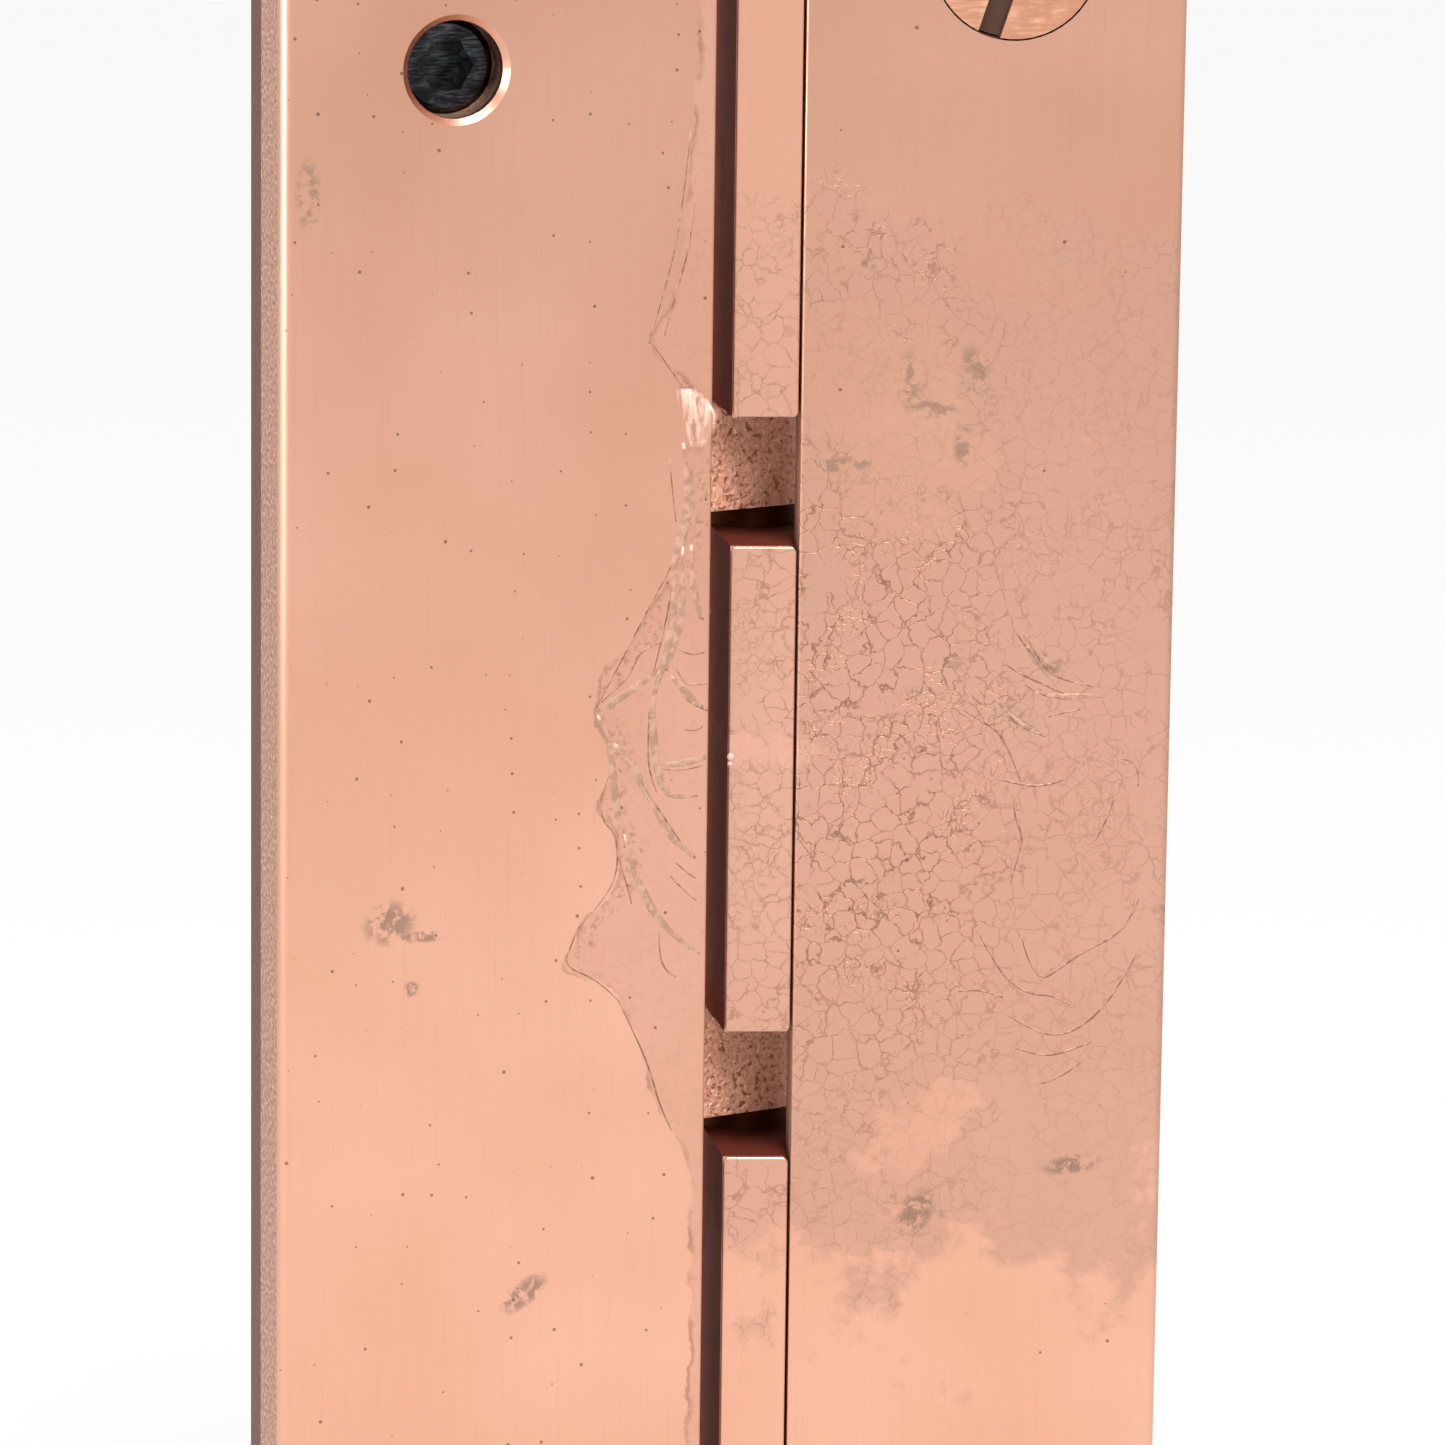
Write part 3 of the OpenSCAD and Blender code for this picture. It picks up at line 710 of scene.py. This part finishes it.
def slim_door_body():
    """The door body cut down to the envelope, in place of its plain solid."""
    bm = bmesh.new()
    bm.from_mesh(nodes["door_body"].data)
    bmesh.ops.remove_doubles(bm, verts=bm.verts, dist=1e-6)
    piece = mesh_object("door_body_cast", bm)
    cutter = envelope()
    cut = piece.modifiers.new("cut", "BOOLEAN")
    cut.operation = "INTERSECT"
    cut.solver = "EXACT"
    cut.object = cutter
    made = finished_mesh(piece)
    piece.modifiers.clear()
    piece.data = made
    bpy.data.objects.remove(cutter)
    made.materials.clear()
    made.materials.append(door_body_finish)
    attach(piece, "door_leaf")
    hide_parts("door_body")
    print("door_body_cast", len(made.polygons), "faces")


slim_door_body()

# %% [markdown]
# ## Folds of the torn film
# Where the film tore it wrinkled, and the wrinkles set hard: broad low bands up to two thirds of a
# millimetre wide, and thin creases that outline them. They follow no rule, so each route is a short list
# of places.

# %% Routes of the film strands
# Points of each route: millimetres across from the pin and up, on the flat leaf.
DOOR_BANDS = [
    [(-12.0, 5.0), (-11.3, 3.5), (-11.2, 2.2), (-10.9, 0.5), (-10.6, -1.1), (-10.2, -2.7)],
    [(-10.4, -2.0), (-9.8, -4.0), (-9.2, -5.6), (-8.5, -6.9), (-7.7, -8.0), (-6.5, -8.9), (-5.7, -9.2)],
    [(-11.0, 3.3), (-9.9, 2.2), (-9.3, 0.5), (-8.5, -0.8)],
    [(-9.5, 1.2), (-8.5, -0.8), (-7.7, -2.0), (-7.0, -2.9), (-6.2, -3.7)],
    [(-12.0, 5.2), (-11.2, 5.6), (-10.2, 6.2), (-9.0, 6.9), (-8.3, 7.6)],
    [(-8.3, 7.6), (-8.7, 5.7), (-8.8, 3.8), (-8.6, 1.8), (-8.2, 0.5), (-7.4, -0.1), (-6.1, -0.1)],
    [(-7.6, 13.6), (-7.5, 11.0), (-7.8, 9.0), (-8.3, 7.4), (-8.6, 6.0)],
    [(-7.0, 14.6), (-6.9, 11.4), (-7.3, 9.2), (-7.9, 7.4)],
    [(-7.1, 20.4), (-6.8, 18.8), (-6.8, 16.2), (-7.4, 14.4), (-7.8, 12.6), (-7.6, 11.0)],
    [(-6.7, 14.4), (-6.5, 12.6), (-6.1, 11.0), (-6.0, 10.2)],
    [(-7.6, 7.1), (-6.9, 6.2), (-6.4, 5.4), (-5.8, 5.1)],
    [(-8.4, 1.9), (-7.2, 1.7), (-5.7, 2.1)],
]
DOOR_CREASES = [
    [(-12.1, 5.4), (-10.9, 7.6), (-9.6, 10.0), (-8.5, 12.0), (-7.7, 13.2), (-6.9, 15.6)],
    [(-11.8, 5.7), (-10.9, 6.5), (-10.2, 7.1), (-9.5, 8.7), (-8.5, 8.8)],
    [(-8.9, 6.9), (-8.2, 9.2), (-7.8, 11.2), (-7.6, 12.8)],
    [(-11.3, 1.5), (-11.9, 0.2), (-11.6, -1.1), (-10.9, -2.0), (-10.7, -4.0), (-11.3, -5.4),
     (-12.2, -6.4)],
    [(-12.2, -6.4), (-13.1, -7.2), (-13.5, -8.3), (-14.1, -9.6), (-11.8, -10.4), (-10.5, -11.7)],
    [(-10.5, -11.7), (-9.5, -14.2), (-8.6, -16.6), (-8.2, -18.0), (-7.4, -19.6)],
    [(-11.0, 3.0), (-10.0, 2.4), (-9.1, 0.6), (-8.2, -1.0), (-7.2, -2.6), (-6.4, -3.5)],
    [(-10.7, -3.0), (-10.2, -4.6), (-9.8, -6.0)],
    [(-8.9, 5.2), (-9.0, 3.6), (-8.9, 1.6), (-8.5, 0.3)],
    [(-7.4, 8.5), (-6.6, 8.1), (-5.7, 8.3)],
    [(-7.5, 7.3), (-6.9, 6.6), (-6.3, 6.5), (-5.6, 6.4)],
    [(-7.0, 6.0), (-6.3, 5.2), (-5.6, 4.8)],
    [(-6.9, 3.9), (-6.3, 3.6), (-5.9, 3.9)],
    [(-8.4, 1.6), (-7.2, 1.45), (-5.7, 1.8)],
    [(-7.6, -4.4), (-6.8, -5.4), (-6.0, -6.1)],
    [(-7.2, -3.7), (-6.4, -4.5), (-6.0, -4.7)],
    [(-8.3, -7.6), (-8.2, -9.0), (-7.8, -10.2), (-7.3, -10.6)],
    [(-9.1, 26.2), (-8.3, 25.3), (-7.6, 24.2), (-7.1, 23.2)],
    [(-9.1, 26.2), (-8.2, 29.5), (-7.4, 33.0), (-6.9, 38.0)],
    [(-8.4, 26.4), (-7.6, 29.0), (-6.8, 31.5), (-6.6, 34.0)],
    [(-7.9, 19.5), (-7.8, 17.4), (-7.6, 15.8)],
]
FRAME_CREASES = [
    [(13.6, 5.5), (14.3, 4.5), (15.1, 3.7), (16.6, 3.3)],
    [(13.9, 5.4), (14.6, 4.3), (15.3, 3.8), (16.2, 3.6)],
    [(14.7, 9.2), (15.5, 8.1)],
    [(15.1, 9.1), (15.6, 8.2), (16.6, 7.2), (17.5, 6.5), (19.2, 6.2)],
    [(15.1, 6.3), (16.0, 5.7), (17.3, 5.5), (18.5, 5.7), (19.7, 5.5)],
    [(14.0, 7.5), (14.9, 6.8), (16.2, 6.4), (17.5, 5.7)],
    [(16.6, 4.3), (17.5, 4.5), (18.5, 4.8)],
    [(11.9, 4.8), (13.0, 4.2), (13.8, 3.4), (14.5, 2.0), (15.1, 0.6)],
    [(13.8, 0.7), (15.1, 0.3), (16.4, 0.3), (18.1, 0.9), (18.3, 1.4)],
    [(14.7, -0.3), (14.8, -1.3), (15.5, -2.6), (15.1, -4.0), (14.8, -5.3)],
    [(20.7, -0.1), (20.2, -1.7), (19.6, -2.8)],
    [(12.8, -8.2), (13.6, -9.8), (14.7, -11.1), (16.0, -11.9), (17.3, -12.1), (18.3, -12.5)],
    [(11.9, -11.7), (13.0, -11.5), (14.5, -12.0)],
    [(15.4, -8.4), (15.6, -10.0), (16.6, -11.1), (17.5, -10.5), (19.0, -9.4), (20.7, -8.6),
     (21.7, -7.4), (22.4, -5.7)],
    [(14.7, -13.0), (16.0, -13.9), (17.5, -14.4), (19.0, -13.8), (20.2, -12.7), (21.3, -11.1),
     (22.2, -9.2)],
    [(15.1, -15.0), (16.6, -15.6), (18.1, -15.4), (19.6, -14.7)],
    [(16.8, -17.1), (17.9, -16.9), (19.0, -15.9)],
    [(21.1, 2.0), (22.0, 1.8), (21.9, 0.3)],
]
FRAME_BANDS = [
    [(13.7, 5.4), (14.4, 4.4), (15.2, 3.8), (16.4, 3.4)],
    [(15.5, 8.6), (16.4, 7.8), (17.2, 7.2)],
    [(16.0, 5.9), (17.3, 5.4), (18.8, 5.6), (19.6, 5.4)],
]
print("routes on the door leaf:", len(DOOR_BANDS + DOOR_CREASES))
print("routes on the frame leaf:", len(FRAME_BANDS + FRAME_CREASES))

# %% [markdown]
# Each route becomes a smooth curve on the face with a round bevel. A band has a big radius and is sunk
# nearly whole, so that only a low flat crown shows. A crease is thin, tapers to its ends and stands
# prouder.


# %% Film strands
def film_material(name, dark, pale, roughness, metallic):
    """Set glue and polyethylene film: a soft tan skin over the copper."""
    material, tree, shader = new_material(name)
    mm = leaf_coords(tree, False)
    streaky = grain(tree, mm, 1.9, detail=5, rough=0.65)
    tone = add(tree, "MapRange", (streaky, 0.42, 0.58), **SOFT_STEP)
    colour = add(tree, "Mix", {0: tone, 6: linear(dark), 7: linear(pale)}, **OF_COLOURS)
    set_links(tree, shader, {"Base Color": colour, "Roughness": roughness, "Metallic": metallic})
    return material


def film_piece(name, bm, finish, body):
    """Smooths a piece of film, gives it its finish and lets it ride on a leaf."""
    bmesh.ops.recalc_face_normals(bm, faces=bm.faces)
    for face in bm.faces:
        face.smooth = True
    piece = mesh_object(name, bm)
    piece.data.materials.append(finish)
    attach(piece, body)
    print(name, len(piece.data.polygons), "faces")
    return piece


# How far a strand strays from its route, in millimetres, and the share of its radius at its thinnest.
STRAY = 0.12
THINNEST = 0.6


def strands(name, body, routes, turn, finish, radius_mm, sunk, low):
    """One mesh of round strands on a face.

    sunk is the share of the radius that lies below the face, and low the share that is left at the ends.
    """
    data = bpy.data.curves.new(name, "CURVE")
    data.dimensions = "3D"
    data.bevel_depth = radius_mm * MM
    data.bevel_resolution = 6
    data.resolution_u = 6
    rng = random.Random(7)
    for route in routes:
        spline = data.splines.new("NURBS")
        last = len(route) - 1
        spline.points.add(last)
        for i, (across, up) in enumerate(route):
            jitter = rng.uniform(-STRAY, STRAY)
            flat = Vector((PIN.x + (across + jitter) * MM, FRONT_Y, (up + jitter) * MM))
            flat.y += sunk * radius_mm * MM
            spline.points[i].co = (*(turn @ flat), 1.0)
            swell = rng.uniform(THINNEST, 1.0)
            middle = math.sin(math.pi * (i + 0.3) / (last + 0.6))
            spline.points[i].radius = low + (1 - low) * swell * middle
        spline.order_u = 3
        spline.use_endpoint_u = True
    curve = new_object(name + "_curve", data)
    mesh = finished_mesh(curve)
    bpy.data.objects.remove(curve)
    bm = bmesh.new()
    bm.from_mesh(mesh)
    bpy.data.meshes.remove(mesh)
    bmesh.ops.remove_doubles(bm, verts=bm.verts, dist=1e-7)
    bmesh.ops.holes_fill(bm, edges=bm.edges, sides=0)
    return film_piece(name, bm, finish, body)


# %% [markdown]
# One scrap of the film still stands up over the edge of the door plate beside the upper gap: a thin
# curled sheet. A grid is bent round a curl and given a wall with `solidify`. Two crumbs of it cling to
# the block's edge.


# %% Film flap and crumbs
def clear_film_material():
    """Polyethylene protective film: milky, soft, and half clear where it is single."""
    material, tree, shader = new_material("milky_film")
    mm = leaf_coords(tree, False)
    haze = grain(tree, mm, 1.4, detail=5, stretch=(1.6, 1.6, 0.35))
    haze = add(tree, "MapRange", (haze, 0.42, 0.66, 0.05, 0.5), **SOFT_STEP)
    set_links(tree, shader, {"Base Color": linear("#dfbcac"), "Roughness": 0.35, "Alpha": haze})
    return material


# The flap, in millimetres: its place across and its ends up the leaf, its width, how far it curls up and
# how far its top leans outwards, how far it stands off the face, its waves, and its wall.
FLAP_ACROSS, FLAP_LOW, FLAP_HIGH = -6.8, 20.2, 23.5
FLAP_WIDTH, FLAP_CURL, FLAP_LEAN = 1.9, 0.75, 0.9
FLAP_LIFT, FLAP_WAVE, FLAP_WALL = 0.03, 0.12, 0.03


def film_flap():
    """A sheet bent round a curl: u runs from 0 to 1 across it, v from 0 to 1 up it."""
    bm = bmesh.new()
    bmesh.ops.create_grid(bm, x_segments=10, y_segments=16, size=0.5)
    for vert in bm.verts:
        u, v = vert.co.x + 0.5, vert.co.y + 0.5
        width = FLAP_WIDTH * (0.25 + 0.75 * math.sin(math.pi * min(1.0, 0.15 + 0.8 * (1 - v))))
        curl = FLAP_CURL * math.sin(math.pi * 0.62 * u) * (0.35 + 0.65 * math.sin(math.pi * v))
        wave = FLAP_WAVE * noise.noise(Vector((u * 3, v * 5, 4)))
        x = FLAP_ACROSS - FLAP_LEAN + width * u + FLAP_LEAN * (1 - v) + wave
        out = FLAP_LIFT + curl + wave * 0.5
        up = FLAP_LOW + (FLAP_HIGH - FLAP_LOW) * v
        vert.co = DOOR_TURN @ Vector((PIN.x + x * MM, FRONT_Y - out * MM, up * MM))
    bmesh.ops.solidify(bm, geom=bm.faces[:], thickness=FLAP_WALL * MM)
    return film_piece("film_flap", bm, film_finish, "door_leaf")


# Crumbs on the block's edge, in millimetres: across from the pin, up, radius. Then how far they stand off
# the face, and how rough they are: the size of their lumps, and lumps to the metre.
CRUMBS = [(-1.45, 2.0, 0.22), (-1.5, 1.6, 0.15)]
CRUMB_LIFT = 0.02
LUMP_SIZE = 0.09
LUMPS = 4000


def film_crumbs():
    """Two small lumps of film."""
    bm = bmesh.new()
    for across, up, radius in CRUMBS:
        place = Matrix.Translation((PIN.x + across * MM, FRONT_Y - CRUMB_LIFT * MM, up * MM))
        bmesh.ops.create_icosphere(bm, subdivisions=2, radius=radius * MM, matrix=place)
    for vert in bm.verts:
        vert.co += Vector((1, 0.6, 1)) * noise.noise(vert.co * LUMPS) * LUMP_SIZE * MM
    return film_piece("film_crumbs", bm, film_finish, "frame_leaf")


film_finish = clear_film_material()
film_flap()
film_crumbs()
band_finish = film_material("film_band", "#9c7764", "#b38c78", 0.5, 0.7)
crease_finish = film_material("film_crease", "#6b4737", "#956e5b", 0.5, 0.3)
FLAT = Matrix.Identity(4)
BAND = {"sunk": 0.93, "low": 0.935}
CREASE = {"sunk": 0.4, "low": 0.4}
strands("door_film_bands", "door_leaf", DOOR_BANDS, DOOR_TURN, band_finish, 0.9, **BAND)
strands("frame_film_bands", "frame_leaf", FRAME_BANDS, FLAT, band_finish, 0.7, **BAND)
strands("door_film_creases", "door_leaf", DOOR_CREASES, DOOR_TURN, crease_finish, 0.07, **CREASE)
strands("frame_film_creases", "frame_leaf", FRAME_CREASES, FLAT, crease_finish, 0.08, **CREASE)

# %% [markdown]
# ## Studio
# The floor and the world look white to the lens and in reflections, as in a light tent. Soft lamps give
# the faces their gentle fall-off, and the gaps between the knuckles go dark because little of the tent
# reaches them.


# %% Floor, world and lamps
def tent_rays(tree, lens, mirrored):
    """How much of the plain tent a ray shows: straight from the lens, or off metal and through film."""
    rays = add(tree, "LightPath").node.outputs
    bent = add(tree, "Math", (rays["Is Glossy Ray"], rays["Is Transmission Ray"]), operation="MAXIMUM")
    bent = add(tree, "Math", (bent, mirrored), operation="MULTIPLY")
    straight = add(tree, "Math", (rays["Is Camera Ray"], lens), operation="MULTIPLY")
    return add(tree, "Math", (straight, bent), operation="MAXIMUM")


def floor():
    """The white ground under the hinge, which counts as studio and not as part of the hinge."""
    bm = bmesh.new()
    bmesh.ops.create_grid(bm, x_segments=1, y_segments=1, size=3.0)
    bmesh.ops.translate(bm, verts=bm.verts, vec=(0, 0, -HALF_HEIGHT))
    piece = mesh_object("floor", bm)
    material, tree, shader = new_material("white_floor")
    set_links(tree, shader, {"Base Color": linear("#d2d2d2"), "Roughness": 0.8})
    glow = add(tree, "Emission", {"Color": (1, 1, 1, 1), "Strength": 1.0})
    # Metal sees more of the lamplight on the floor than the lens does, which brightens the lower ends.
    seen = tent_rays(tree, 0.85, 0.45)
    mix = add(tree, "MixShader", (seen, shader.outputs[0], glow))
    plug(tree, tree.nodes["Material Output"].inputs[0], mix)
    piece.data.materials.append(material)


def world_light():
    """White all round, a little dimmer for matt surfaces than for the lens and for reflections."""
    world = bpy.data.worlds.new("tent")
    world.use_nodes = True
    tree = world.node_tree
    background = tree.nodes["Background"]
    background.inputs["Color"].default_value = (1, 1, 1, 1)
    seen = tent_rays(tree, 1.0, 1.0)
    strength = add(tree, "MapRange", (seen, 0.0, 1.0, 0.82, 1.0), **SOFT_STEP)
    plug(tree, background.inputs["Strength"], strength)
    bpy.context.scene.world = world


def lamp(name, place, size, watts, target=(0, 0, 0)):
    """A soft square lamp that looks at a target, in metres and watts."""
    data = bpy.data.lights.new(name, "AREA")
    data.size = size
    data.energy = watts
    light = new_object(name, data)
    light.location = place
    light.rotation_euler = (Vector(target) - Vector(place)).to_track_quat("-Z", "Y").to_euler()


floor()
world_light()
lamp("left", (-0.55, -0.22, 0.10), 0.3, 2.0)
lamp("right_front", (0.24, -0.48, 0.42), 0.25, 2.9)
lamp("over_floor", (0.0, -0.16, 0.30), 0.12, 1.85, target=(0, -0.10, -0.057))
bpy.context.scene.view_settings.view_transform = "Standard"
print("studio: floor, tent and 3 lamps")
